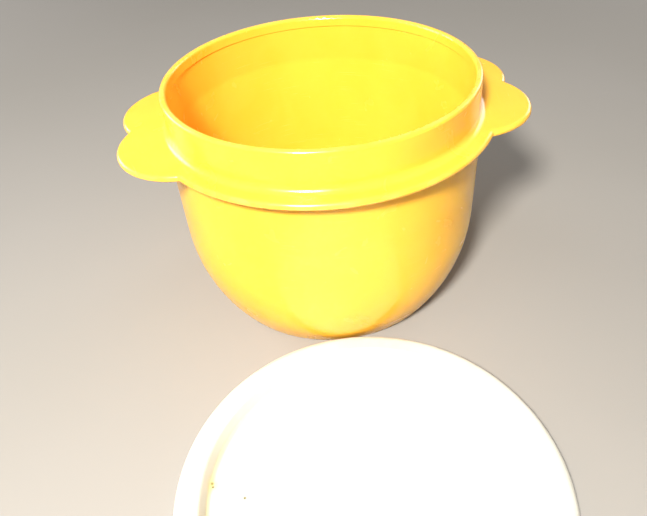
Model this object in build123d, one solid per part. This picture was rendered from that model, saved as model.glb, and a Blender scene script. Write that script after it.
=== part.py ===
"""Insulated yogurt bowl: a lift-out bowl with lobed handles, its shell, foam cup and press-on lid.

Millimetres, +Z up. The shell's foot stands on the plane Z = 0, on the Z axis, and the handles
lie along X. The lid lies on the same plane, taken off, in front of the shell.
"""

import os
from math import asin, cos, hypot, radians, sin, sqrt, tan

from build123d import *

# Overall sizes
total_height = 127.5        # foot of the shell to the bowl's rim
collar_radius = 80.0        # outside of the upright collar round the mouth

# Bowl: collar and lip
lip_wall = 3.4              # collar wall at the lip, a thicker band that the lid's plug grips
lip_depth = 5.6             # rim to the foot of the lip
lip_round = 1.5             # rounding of both edges of the rim
collar_height = 19.6        # rim to the top of the flange

# Bowl: flange and handles
flange_width = 9.0          # beyond the collar
flange_wall = 2.4
flange_edge = 3.4           # height of the flange's turned-down edge
flange_round = 1.9          # rounding of its upper edge, all round the outline
edge_round = 1.3            # rounding of its lower edge
collar_fillet = 3.5         # hollow fillet where the flange meets the collar
handle_reach = 15.2         # beyond the flange, at the tip of each lobe
lobe_radius = 33.1
lobe_spread = 16.8          # each lobe's centre to the handle's centre line
corner_round = 1.2          # inner corners of the outline, in plan

# Bowl: wall and floor
bowl_wall = 2.8             # below the lip
bowl_draft = 8.0            # degrees, below the collar
straight_depth = 26.0       # rim to where the tapered wall starts
floor_lift = 15.0           # foot of the shell to the floor of the bowl
floor_corner = 24.0         # inside radius between wall and floor
waist_blend = 18.0          # inside radius where the straight wall turns into the taper
foot_recess = 0.8           # hollow under the bowl's floor, inside the foot ring
foot_ring_width = 7.0

# Shell
shell_wall = 1.6
pilot_clearance = 0.3       # round the bowl's collar, inside the mouth of the shell
belly_height = 51.0         # the wall is upright above this height and curves in below it
belly_radius = 93.0
foot_round = 2.5
shell_floor = 3.4
shell_recess = 1.2          # hollow under the foot, inside its ring
shell_ring_width = 11.0
bead_width = 1.1            # thickened edge round the mouth of the shell
bead_height = 5.0

# Foam cup
foam_clearance = 0.3        # to the shell
bowl_clearance = 0.8        # to the bowl that lifts out of it
foam_drop = 50.0            # rim of the bowl to the top edge of the foam
foam_round = 0.8

# Lid
lid_height = 9.0
lid_overhang = 5.6          # beyond the collar
lid_wall = 1.8              # panel and crown
lid_shoulder = 4.6          # outside radius of the outer edge
skirt_wall = 1.6
plug_wall = 2.1
plug_clearance = 0.25       # to the inside of the rim
plug_taper = 20.0           # degrees
plug_fillet = 1.6
crown_round = 2.2
grip_clearance = 0.15       # to the outside of the collar
grip_wall = 1.5
grip_lift = 1.2             # lower edge of the grip ring above the edge of the skirt

# Where the lid lies when it is off
lid_bearing = -94.0         # degrees round Z from +X
lid_gap = 2.0               # to the shell, at the top of the lid's upright edge

# Heights and radii that follow
rim_z = total_height
flange_top = rim_z - collar_height
seat_face = flange_top - flange_wall
waist_z = rim_z - straight_depth
floor_under = floor_lift - bowl_wall
lip_radius = collar_radius - lip_wall
mouth_radius = collar_radius - bowl_wall
flange_radius = collar_radius + flange_width
lobe_x = flange_radius + handle_reach - lobe_radius
rim_round = min(lip_round, 0.45 * lip_wall)            # two of them share the rim
upper_round = min(flange_round, 0.57 * flange_edge)    # this and the next share the edge
lower_round = min(edge_round, 0.4 * flange_edge)
shell_bore = collar_radius + pilot_clearance
shell_radius = shell_bore + shell_wall
lid_radius = collar_radius + lid_overhang
taper = tan(radians(bowl_draft))
lobe_centres = [(side * lobe_x, row * lobe_spread) for side in (-1, 1) for row in (-1, 1)]


def section(points, rounds):
    """A straight-sided half section. rounds gives the radius of each rounded corner."""
    face = make_face(Polyline(*points, close=True))
    for number, radius in rounds.items():
        corner = face.vertices().sort_by_distance(Vector(*points[number]))[0]
        face = fillet(corner, radius)
    return face


def turned(face):
    """Revolve a half section, drawn as radius and height, once round the Z axis."""
    return revolve(Plane.XZ * face, Axis.Z)


def disc(radius, height, foot_z):
    return Pos(0, 0, foot_z) * extrude(Circle(radius), height)


# ---- Lift-out bowl -------------------------------------------------------------------------

def flange_outline(inset):
    """Flange and lobed handles seen from above, moved in by inset."""
    outline = Circle(flange_radius - inset)
    for x, y in lobe_centres:
        outline += Pos(x, y) * Circle(lobe_radius - inset)
    rings = [(0, 0, flange_radius)] + [(x, y, lobe_radius) for x, y in lobe_centres]
    inner_corners = []
    for vertex in outline.vertices():
        met = [r for x, y, r in rings if abs(hypot(vertex.X - x, vertex.Y - y) - r + inset) < 0.001]
        if len(met) > 1:
            inner_corners.append(vertex)
    return fillet(inner_corners, corner_round)


def make_flange():
    """The flange with both handles: a thin plate with its edge rounded and turned down."""
    foot_z = flange_top - flange_edge
    plate = Pos(0, 0, foot_z) * extrude(flange_outline(0), flange_edge)
    plate = fillet(plate.faces().sort_by(Axis.Z)[-1].edges(), upper_round)
    plate = fillet(plate.faces().sort_by(Axis.Z)[0].edges(), lower_round)
    hollow = extrude(flange_outline(flange_wall), flange_edge - flange_wall)
    return plate - Pos(0, 0, foot_z) * hollow


def bowl_form(radius, floor_z, corner):
    """Half section of the bowl's form, filled to the axis: straight collar, taper, floor."""
    foot_radius = radius - (waist_z - floor_z) * taper
    points = [(0, floor_z), (foot_radius, floor_z), (radius, waist_z), (radius, rim_z), (0, rim_z)]
    return section(points, {1: corner, 2: waist_blend})


def make_bowl():
    body = turned(bowl_form(collar_radius, floor_under, floor_corner + bowl_wall)) + make_flange()
    root = [
        edge
        for edge in body.edges().filter_by(GeomType.CIRCLE)
        if abs(edge.radius - collar_radius) < 0.01 and abs(edge.center().Z - flange_top) < 0.01
    ]
    body = fillet(root, collar_fillet)
    lip_foot = rim_z - lip_depth
    wall_top = lip_foot - (mouth_radius - lip_radius)
    lip = section(
        [
            (lip_radius, lip_foot),
            (mouth_radius, wall_top),
            (collar_radius, wall_top),
            (collar_radius, rim_z),
            (lip_radius, rim_z),
        ],
        {},
    )
    body -= turned(bowl_form(mouth_radius, floor_lift, floor_corner)) - turned(lip)
    body = fillet(body.faces().sort_by(Axis.Z)[-1].edges(), rim_round)
    foot_radius = collar_radius - (waist_z - floor_under) * taper
    recess_radius = foot_radius - floor_corner - foot_ring_width
    return body - disc(recess_radius, foot_recess, floor_under)


# ---- Shell ---------------------------------------------------------------------------------

def belly_radius_at(height, radius, bend):
    """Radius of a tub's wall at a height: upright above the belly, an arc below it."""
    drop = max(belly_height - height, 0)
    return radius - bend + sqrt(bend**2 - drop**2)


def belly_section(radius, bend, foot_z, top_z):
    """Half section of a tub: upright wall, a long arc under it and a flat floor."""
    foot_radius = belly_radius_at(foot_z, radius, bend)
    half_turn = asin((belly_height - foot_z) / bend) / 2
    middle = (radius - bend + bend * cos(half_turn), belly_height - bend * sin(half_turn))
    face = make_face(
        [
            Line((0, foot_z), (foot_radius, foot_z)),
            ThreePointArc((foot_radius, foot_z), middle, (radius, belly_height)),
            Polyline((radius, belly_height), (radius, top_z), (0, top_z), (0, foot_z)),
        ]
    )
    corner = face.vertices().sort_by_distance(Vector(foot_radius, foot_z))[0]
    return fillet(corner, foot_round)


def make_shell():
    """The tub, with a bead round its mouth that carries the bowl's flange."""
    outside = belly_section(shell_radius, belly_radius, 0, seat_face)
    inside = belly_section(shell_bore, belly_radius - shell_wall, shell_floor, seat_face)
    bead = section(
        [
            (shell_bore, seat_face - bead_height),
            (shell_radius, seat_face - bead_height),
            (shell_radius + bead_width, seat_face - bead_height + bead_width),
            (shell_radius + bead_width, seat_face),
            (shell_bore, seat_face),
        ],
        {3: bead_width / 2},
    )
    foot_radius = belly_radius_at(0, shell_radius, belly_radius)
    recess = disc(foot_radius - foot_round - shell_ring_width, shell_recess, 0)
    return turned(outside) + turned(bead) - turned(inside) - recess


# ---- Foam cup ------------------------------------------------------------------------------

def make_foam():
    """The space between bowl and shell, less both clearances, filled from the floor up."""
    top_z = rim_z - foam_drop
    radius = shell_bore - foam_clearance
    bend = belly_radius - shell_wall - foam_clearance
    cup = turned(belly_section(radius, bend, shell_floor, top_z))
    room = bowl_form(
        collar_radius + bowl_clearance,
        floor_under - bowl_clearance,
        floor_corner + bowl_wall + bowl_clearance,
    )
    cup -= turned(room)
    return fillet(cup.faces().filter_by(Axis.Z).sort_by(Axis.Z)[-1].edges(), foam_round)


# ---- Lid -----------------------------------------------------------------------------------

def make_lid():
    """Press-on lid: sunk panel, plug wall, crown, grip ring outside the collar, outer skirt."""
    under_crown = lid_height - lid_wall
    slope = under_crown * tan(radians(plug_taper))
    plug_top = lip_radius - plug_clearance
    plug_foot = plug_top - slope
    form = section(
        [
            (0, 0),
            (plug_foot, 0),
            (plug_top, under_crown),
            (lid_radius - skirt_wall, under_crown),
            (lid_radius - skirt_wall, 0),
            (lid_radius, 0),
            (lid_radius, lid_height),
            (plug_top - plug_wall, lid_height),
            (plug_foot - plug_wall, lid_wall),
            (0, lid_wall),
        ],
        {1: plug_fillet, 3: lid_shoulder - skirt_wall, 6: lid_shoulder, 7: crown_round, 8: plug_fillet},
    )
    grip_radius = collar_radius + grip_clearance
    grip_top = under_crown + lid_wall / 2
    grip = section(
        [
            (grip_radius, grip_lift),
            (grip_radius + grip_wall, grip_lift),
            (grip_radius + grip_wall, grip_top),
            (grip_radius, grip_top),
        ],
        {0: grip_wall / 3, 1: grip_wall / 3},
    )
    widest = lid_height - lid_shoulder
    reach = belly_radius_at(widest, shell_radius, belly_radius) + lid_gap + lid_radius
    bearing = radians(lid_bearing)
    return Pos(reach * cos(bearing), reach * sin(bearing), 0) * (turned(form) + turned(grip))


pieces = {
    "outer_shell": make_shell(),
    "foam_liner": make_foam(),
    "inner_bowl": make_bowl(),
    "lid": make_lid(),
}

os.makedirs("parts", exist_ok=True)
for name, solid in pieces.items():
    export_step(solid, f"parts/{name}.step")
    print(f"{name:12s} volume {solid.volume / 1000:7.1f} cm3  size {solid.bounding_box().size}")
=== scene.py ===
"""The insulated yogurt bowl, finished for the eye: mango yellow tub and lift-out bowl, white lid.

Everything is in metres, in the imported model's frame: the tub stands on Z = 0, on the Z axis.
"""
from math import cos, radians, sin

import bpy
from mathutils import Matrix, Vector


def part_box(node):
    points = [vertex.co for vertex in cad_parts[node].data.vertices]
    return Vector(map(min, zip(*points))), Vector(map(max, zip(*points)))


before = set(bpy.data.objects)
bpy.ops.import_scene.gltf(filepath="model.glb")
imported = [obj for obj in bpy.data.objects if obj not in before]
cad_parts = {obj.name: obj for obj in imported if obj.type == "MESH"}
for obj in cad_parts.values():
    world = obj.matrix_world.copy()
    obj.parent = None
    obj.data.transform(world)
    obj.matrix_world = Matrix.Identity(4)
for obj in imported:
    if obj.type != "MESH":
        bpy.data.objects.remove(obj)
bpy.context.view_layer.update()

bpy.ops.object.select_all(action="DESELECT")

# ---- Camera --------------------------------------------------------------------------------
# A hand-held camera with a slightly wide lens, a quarter of a metre above the table and a little
# further in front of the tub's axis, looking down into the mouth and held out of level.

camera_turn = radians(-6.35)        # round the tub, from straight in front of the handles
camera_place = Vector((-0.0058, -0.2853, 0.2478))
camera_tilt = radians(40.6)         # below level
camera_roll = radians(4.8)

camera_data = bpy.data.cameras.new("camera")
camera_data.lens = 32.8
camera_data.sensor_width = 36
camera = bpy.data.objects.new("camera", camera_data)
bpy.context.scene.collection.objects.link(camera)
camera.matrix_world = (
    Matrix.Rotation(camera_turn, 4, "Z")
    @ Matrix.Translation(camera_place)
    @ Matrix.Rotation(radians(90) - camera_tilt, 4, "X")
    @ Matrix.Rotation(-camera_roll, 4, "Z")
)
bpy.context.scene.camera = camera

# ---- Studio --------------------------------------------------------------------------------
# A pale matt table top 12 m across, one soft light above and behind the camera, a little to its
# left, a faint one at the left, two wide ones further off behind the tub, and an even surround.


def linear(colour):
    """An sRGB hex colour as the linear RGBA that sockets take."""
    parts = [int(colour[i : i + 2], 16) / 255 for i in (1, 3, 5)]
    return [c / 12.92 if c <= 0.04045 else ((c + 0.055) / 1.055) ** 2.4 for c in parts] + [1.0]


def add(tree, kind, links={}, **settings):
    """Add a node. links gives sockets, by name or number, their values or feeding outputs."""
    node = tree.nodes.new("ShaderNode" + kind)
    for name, value in settings.items():
        setattr(node, name, value)
    for name, value in links.items():
        if isinstance(value, bpy.types.NodeSocket):
            tree.links.new(value, node.inputs[name])
        else:
            node.inputs[name].default_value = value
    return node


def soft_light(name, place, aim, size, power, colour):
    data = bpy.data.lights.new(name, "AREA")
    data.shape = "DISK"
    data.size = size
    data.energy = power
    data.color = linear(colour)[:3]
    light = bpy.data.objects.new(name, data)
    bpy.context.scene.collection.objects.link(light)
    aim_line = Vector(aim) - Vector(place)
    light.matrix_world = Matrix.Translation(place) @ aim_line.to_track_quat("-Z", "Y").to_matrix().to_4x4()


soft_light("key", (-0.21, -0.47, 0.56), (0, -0.01, 0.07), 0.12, 12.0, "#FFFCF5")
soft_light("fill", (-0.85, -0.25, 0.55), (0, 0, 0.06), 0.8, 0.3, "#FFF4E4")
soft_light("back_left", (-1.1, 0.75, 0.5), (0, 0, 0.06), 0.7, 10.0, "#FFFFFF")
soft_light("back_right", (1.1, 0.85, 0.5), (0, 0, 0.06), 0.7, 5.5, "#FFFFFF")

world = bpy.data.worlds.new("surround")
world.use_nodes = True
world.node_tree.nodes["Background"].inputs["Color"].default_value = linear("#E4E2DE")
world.node_tree.nodes["Background"].inputs["Strength"].default_value = 0.46
bpy.context.scene.world = world
bpy.context.scene.view_settings.view_transform = "Standard"

bpy.ops.mesh.primitive_circle_add(vertices=96, radius=6, fill_type="TRIFAN", location=(0, 0, 0))
table = bpy.context.object
table.name = "table"
paint = bpy.data.materials.new("matt_table_paint")
paint.use_nodes = True
tree = paint.node_tree
shader = tree.nodes["Principled BSDF"]
where = add(tree, "TexCoord").outputs["Object"]
grain = add(tree, "TexNoise", {"Vector": where, "Scale": 900, "Detail": 3}).outputs["Fac"]
cloud = add(tree, "TexNoise", {"Vector": where, "Scale": 4, "Detail": 3}).outputs["Fac"]
shade = add(tree, "Mix", {0: cloud, 6: linear("#928E88"), 7: linear("#989490")}, data_type="RGBA")
tree.links.new(shade.outputs[2], shader.inputs["Base Color"])
shader.inputs["Roughness"].default_value = 0.9
shader.inputs["Specular IOR Level"].default_value = 0.2
fine = add(tree, "Bump", {"Height": grain, "Strength": 0.3, "Distance": 0.00005})
tree.links.new(fine.outputs["Normal"], shader.inputs["Normal"])
table.data.materials.append(paint)

# ---- Tub -----------------------------------------------------------------------------------
# The outer shell stands on the table: golden yellow polypropylene, moulded in one piece with a
# thickened bead round its mouth. Its foot ring is rubbed where it slides.


def moulded_plastic(name, body, flow, pale, gloss, flesh, glow, rubbed):
    """The finish that tub, bowl and lid share, injection moulded and then washed for years.

    It has faint flow in the pigment, a slightly rippled skin, hairline scuffs, smudges and rubbed
    edges. gloss is the roughness where clean, rubbed(tree, place, radius) marks the worn edges.
    """
    material = bpy.data.materials.new(name)
    material.use_nodes = True
    tree = material.node_tree
    shader = tree.nodes["Principled BSDF"]
    place = add(tree, "TexCoord").outputs["Object"]
    axes = add(tree, "SeparateXYZ", {0: place}).outputs
    flat = add(tree, "VectorMath", {0: place, 1: (1, 1, 0)}, operation="MULTIPLY").outputs[0]
    radius = add(tree, "VectorMath", {0: flat}, operation="LENGTH").outputs["Value"]

    # pigment flow, in clouds about 30 mm across
    cloud = add(tree, "TexNoise", {"Vector": place, "Scale": 33, "Detail": 4, "Distortion": 0.8})
    share = add(tree, "MapRange", {"Value": cloud.outputs["Fac"], "From Min": 0.35, "From Max": 0.65})
    pigment = add(tree, "Mix", {0: share.outputs[0], 6: linear(body), 7: linear(flow)}, data_type="RGBA")

    # hairline scuffs 0.4 mm apart and 20 mm long, round the walls and round the floor, in patches
    across = add(tree, "Math", {0: axes["Z"], 1: radius}, operation="ADD").outputs[0]
    along = add(tree, "VectorMath", {0: flat, 1: (50, 50, 50)}, operation="MULTIPLY").outputs[0]
    rise = add(tree, "CombineXYZ", {"Z": across}).outputs[0]
    steep = add(tree, "VectorMath", {0: rise, 1: (1, 1, 2500)}, operation="MULTIPLY").outputs[0]
    line = add(tree, "VectorMath", {0: along, 1: steep}, operation="ADD").outputs[0]
    hair = add(tree, "TexNoise", {"Vector": line, "Scale": 1, "Detail": 2}).outputs["Fac"]
    hairs = add(tree, "MapRange", {"Value": hair, "From Min": 0.64, "From Max": 0.74}).outputs[0]
    patch = add(tree, "TexNoise", {"Vector": place, "Scale": 19, "Detail": 3}).outputs["Fac"]
    patches = add(tree, "MapRange", {"Value": patch, "From Min": 0.46, "From Max": 0.6}).outputs[0]
    scuffs = add(tree, "Math", {0: hairs, 1: patches}, operation="MULTIPLY").outputs[0]

    # worn edges, paler and duller in stretches some 12 mm long
    stretch = add(tree, "TexNoise", {"Vector": place, "Scale": 80, "Detail": 2}).outputs["Fac"]
    stretches = add(tree, "MapRange", {"Value": stretch, "From Min": 0.3, "From Max": 0.7}).outputs[0]
    edges = add(tree, "Math", {0: rubbed(tree, place, radius), 1: stretches}, operation="MULTIPLY")
    half = add(tree, "Math", {0: edges.outputs[0], 1: 0.5}, operation="MULTIPLY").outputs[0]
    worn = add(tree, "Math", {0: scuffs, 1: 0.35, 2: half}, operation="MULTIPLY_ADD", use_clamp=True)
    paler = add(tree, "Math", {0: worn.outputs[0], 1: 0.5}, operation="MULTIPLY").outputs[0]
    colour = add(tree, "Mix", {0: paler, 6: pigment.outputs[2], 7: linear(pale)}, data_type="RGBA")
    tree.links.new(colour.outputs[2], shader.inputs["Base Color"])

    # roughness: smudges left by wet fingers, 25 mm across, and the scuffs
    smudge = add(tree, "TexNoise", {"Vector": place, "Scale": 40, "Detail": 5, "Distortion": 1.5})
    smudges = {"Value": smudge.outputs["Fac"], "From Min": 0.38, "From Max": 0.7}
    dull = add(tree, "MapRange", {**smudges, "To Min": gloss, "To Max": gloss + 0.12})
    rough = add(tree, "Math", {0: worn.outputs[0], 1: 0.22, 2: dull.outputs[0]}, operation="MULTIPLY_ADD")
    tree.links.new(rough.outputs[0], shader.inputs["Roughness"])

    # skin: ripples 2.5 mm across, a fine spark-eroded grain and the scuffs, some hundredths deep
    ripple = add(tree, "TexNoise", {"Vector": place, "Scale": 400, "Detail": 1}).outputs["Fac"]
    grain = add(tree, "TexNoise", {"Vector": place, "Scale": 2600, "Detail": 2}).outputs["Fac"]
    skin = add(tree, "Bump", {"Height": ripple, "Strength": 0.35, "Distance": 0.00006})
    tooth = add(
        tree, "Bump", {"Height": grain, "Strength": 0.35, "Distance": 0.00002, "Normal": skin.outputs[0]}
    )
    cut = add(
        tree,
        "Bump",
        {"Height": scuffs, "Strength": 0.4, "Distance": 0.00002, "Normal": tooth.outputs[0]},
        invert=True,
    )
    tree.links.new(cut.outputs[0], shader.inputs["Normal"])
    shader.inputs["IOR"].default_value = 1.49
    shader.inputs["Subsurface Weight"].default_value = flesh
    shader.inputs["Subsurface Radius"].default_value = glow
    shader.inputs["Subsurface Scale"].default_value = 0.004
    return material


def dress(node, material):
    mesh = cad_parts[node].data
    mesh.materials.clear()
    mesh.materials.append(material)


mango = {
    "body": "#F7BA3C",
    "flow": "#F7B636",
    "pale": "#FAD27C",
    "gloss": 0.17,
    "flesh": 0.2,
    "glow": (1.0, 0.6, 0.2),
}


def rubbed_foot(tree, place, radius):
    height = add(tree, "SeparateXYZ", {0: place}).outputs["Z"]
    low = add(tree, "MapRange", {"Value": height, "From Min": 0.0045, "From Max": 0.0005})
    return low.outputs[0]


dress("outer_shell", moulded_plastic("golden_polypropylene_tub", rubbed=rubbed_foot, **mango))

# ---- Bowl ----------------------------------------------------------------------------------
# The lift-out bowl hangs in the tub by its flange, and the two lobed handles are part of that
# flange. Same polypropylene; the rim and the outline of flange and handles are handled most.

rim_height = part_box("inner_bowl")[1][2]
handle_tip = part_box("inner_bowl")[1][0]
flange_radius = 0.089
lobe_radius = 0.0331
lobe_spread = 0.0168


def rubbed_rim(tree, place, radius):
    """Worn round the rim, and where the outline of flange and handles is nearer than 1.4 mm."""
    height = add(tree, "SeparateXYZ", {0: place}).outputs["Z"]
    top = add(
        tree, "MapRange", {"Value": height, "From Min": rim_height - 0.0008, "From Max": rim_height - 0.0001}
    ).outputs[0]
    mirrored = add(tree, "VectorMath", {0: place}, operation="ABSOLUTE").outputs[0]
    centre = (handle_tip - lobe_radius, lobe_spread, 0)
    offset = add(tree, "VectorMath", {0: mirrored, 1: centre}, operation="SUBTRACT").outputs[0]
    level = add(tree, "VectorMath", {0: offset, 1: (1, 1, 0)}, operation="MULTIPLY").outputs[0]
    lobe = add(tree, "VectorMath", {0: level}, operation="LENGTH").outputs["Value"]
    past_lobe = add(tree, "Math", {0: lobe, 1: lobe_radius}, operation="SUBTRACT").outputs[0]
    past_ring = add(tree, "Math", {0: radius, 1: flange_radius}, operation="SUBTRACT").outputs[0]
    past = add(tree, "Math", {0: past_lobe, 1: past_ring}, operation="MINIMUM").outputs[0]
    outline = add(tree, "MapRange", {"Value": past, "From Min": -0.0014, "From Max": -0.0002}).outputs[0]
    return add(tree, "Math", {0: top, 1: outline}, operation="MAXIMUM").outputs[0]


dress("inner_bowl", moulded_plastic("golden_polypropylene_bowl", rubbed=rubbed_rim, **mango))

# ---- Foam cup ------------------------------------------------------------------------------
# The loose cup of steam-moulded polystyrene beads that keeps the bowl warm in its tub. Beads
# about 4 mm across, flattened against the mould, with faint grey seams where they meet.

bead_foam = bpy.data.materials.new("steam_moulded_bead_foam")
bead_foam.use_nodes = True
tree = bead_foam.node_tree
shader = tree.nodes["Principled BSDF"]
place = add(tree, "TexCoord").outputs["Object"]
bead = add(tree, "TexVoronoi", {"Vector": place, "Scale": 250})
seam = add(tree, "TexVoronoi", {"Vector": place, "Scale": 250}, feature="DISTANCE_TO_EDGE")
gap = add(tree, "MapRange", {"Value": seam.outputs["Distance"], "From Min": 0.02, "From Max": 0.1})
tone = add(tree, "SeparateColor", {0: bead.outputs["Color"]}).outputs[0]
white = add(tree, "Mix", {0: tone, 6: linear("#F2F0EB"), 7: linear("#ECEAE4")}, data_type="RGBA")
seamed = add(
    tree, "Mix", {0: gap.outputs[0], 6: linear("#DFDCD5"), 7: white.outputs[2]}, data_type="RGBA"
)
tree.links.new(seamed.outputs[2], shader.inputs["Base Color"])
crown = add(tree, "MapRange", {"Value": seam.outputs["Distance"], "From Min": 0.0, "From Max": 0.35})
domes = add(tree, "Bump", {"Height": crown.outputs[0], "Strength": 0.45, "Distance": 0.00015})
tree.links.new(domes.outputs[0], shader.inputs["Normal"])
shader.inputs["Roughness"].default_value = 0.8
shader.inputs["Subsurface Weight"].default_value = 0.2
shader.inputs["Subsurface Radius"].default_value = (1.0, 1.0, 1.0)
shader.inputs["Subsurface Scale"].default_value = 0.003
dress("foam_liner", bead_foam)

# ---- Lid -----------------------------------------------------------------------------------
# The press-on lid, taken off and laid flat in front of the tub: white polyethylene, softer and
# waxier than the tub, with painted shade in the corner of its ring on one side, and three specks of dirt.

lid_low, lid_high = (Vector(corner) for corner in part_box("lid"))
lid_centre = (lid_low + lid_high) / 2
lid_radius = (lid_high.x - lid_low.x) / 2
ring_corner = 0.0712                # from the lid's middle to the foot of the raised ring
panel_height = 0.0018               # top of the sunk panel above the table


def rubbed_lid(tree, place, radius):
    """Worn round the outer shoulder."""
    offset = add(tree, "VectorMath", {0: place, 1: (lid_centre.x, lid_centre.y, 0)}, operation="SUBTRACT")
    level = add(tree, "VectorMath", {0: offset.outputs[0], 1: (1, 1, 0)}, operation="MULTIPLY").outputs[0]
    out = add(tree, "VectorMath", {0: level}, operation="LENGTH").outputs["Value"]
    shoulder = add(
        tree, "MapRange", {"Value": out, "From Min": lid_radius - 0.003, "From Max": lid_radius - 0.0005}
    )
    return shoulder.outputs[0]


def around_lid(distance, bearing):
    """A place on the sunk panel, so far from the lid's middle."""
    turn = radians(bearing)
    return lid_centre.x + distance * cos(turn), lid_centre.y + distance * sin(turn), panel_height


lid_plastic = moulded_plastic(
    "white_polyethylene_lid",
    body="#CFCCC2",
    flow="#CAC6BA",
    pale="#DDDBD3",
    gloss=0.38,
    flesh=0.3,
    glow=(1.0, 0.9, 0.75),
    rubbed=rubbed_lid,
)
tree = lid_plastic.node_tree
shader = tree.nodes["Principled BSDF"]
place = add(tree, "TexCoord").outputs["Object"]

# painted shade: the corner of the ring tinted yellowish grey on one side, where its inner slope faces away
# from the light
panel_middle = (lid_centre.x, lid_centre.y, panel_height)
middle = add(tree, "VectorMath", {0: place, 1: panel_middle}, operation="DISTANCE")
from_corner = add(tree, "Math", {0: middle.outputs["Value"], 1: ring_corner}, operation="SUBTRACT")
apart = add(tree, "Math", {0: from_corner.outputs[0]}, operation="ABSOLUTE").outputs[0]
near_corner = add(tree, "MapRange", {"Value": apart, "From Min": 0.0014, "From Max": 0.0002}).outputs[0]
shaded_side_bearing = 190.0
shaded_side_place = around_lid(ring_corner, shaded_side_bearing)
away = add(tree, "VectorMath", {0: place, 1: shaded_side_place}, operation="DISTANCE").outputs["Value"]
near_shaded_side = add(tree, "MapRange", {"Value": away, "From Min": 0.075, "From Max": 0.045}).outputs[0]
painted_shade_mask = add(tree, "Math", {0: near_corner, 1: near_shaded_side}, operation="MULTIPLY").outputs[0]
# painted shade: mixes the yellowish grey into the lid's colour in the ring's corner on that side
painted_shade_mix = add(
    tree,
    "Mix",
    {0: painted_shade_mask, 6: shader.inputs["Base Color"].links[0].from_socket, 7: linear("#D0CAA2")},
    data_type="RGBA",
)
colour = painted_shade_mix.outputs[2]
# three specks of dirt, 1 to 1.5 mm across, each in a faint yellow halo: how far from the lid's
# middle, on which bearing, and the radius where the speck has faded out
specks = (
    (ring_corner, 166.0, 0.0010),
    (ring_corner - 0.0007, 167.2, 0.0007),
    (0.0555, 172.0, 0.0007),
)
for distance, bearing, size in specks:
    spot = add(tree, "VectorMath", {0: place, 1: around_lid(distance, bearing)}, operation="DISTANCE")
    off = spot.outputs["Value"]
    halo = add(tree, "MapRange", {"Value": off, "From Min": size * 5, "From Max": size, "To Max": 0.35})
    haloed = add(
        tree, "Mix", {0: halo.outputs[0], 6: colour, 7: linear("#DCCB7E")}, data_type="RGBA"
    )
    speck = add(tree, "MapRange", {"Value": off, "From Min": size, "From Max": size * 0.5})
    dirt = add(
        tree, "Mix", {0: speck.outputs[0], 6: haloed.outputs[2], 7: linear("#59542F")}, data_type="RGBA"
    )
    colour = dirt.outputs[2]
tree.links.new(colour, shader.inputs["Base Color"])
dress("lid", lid_plastic)
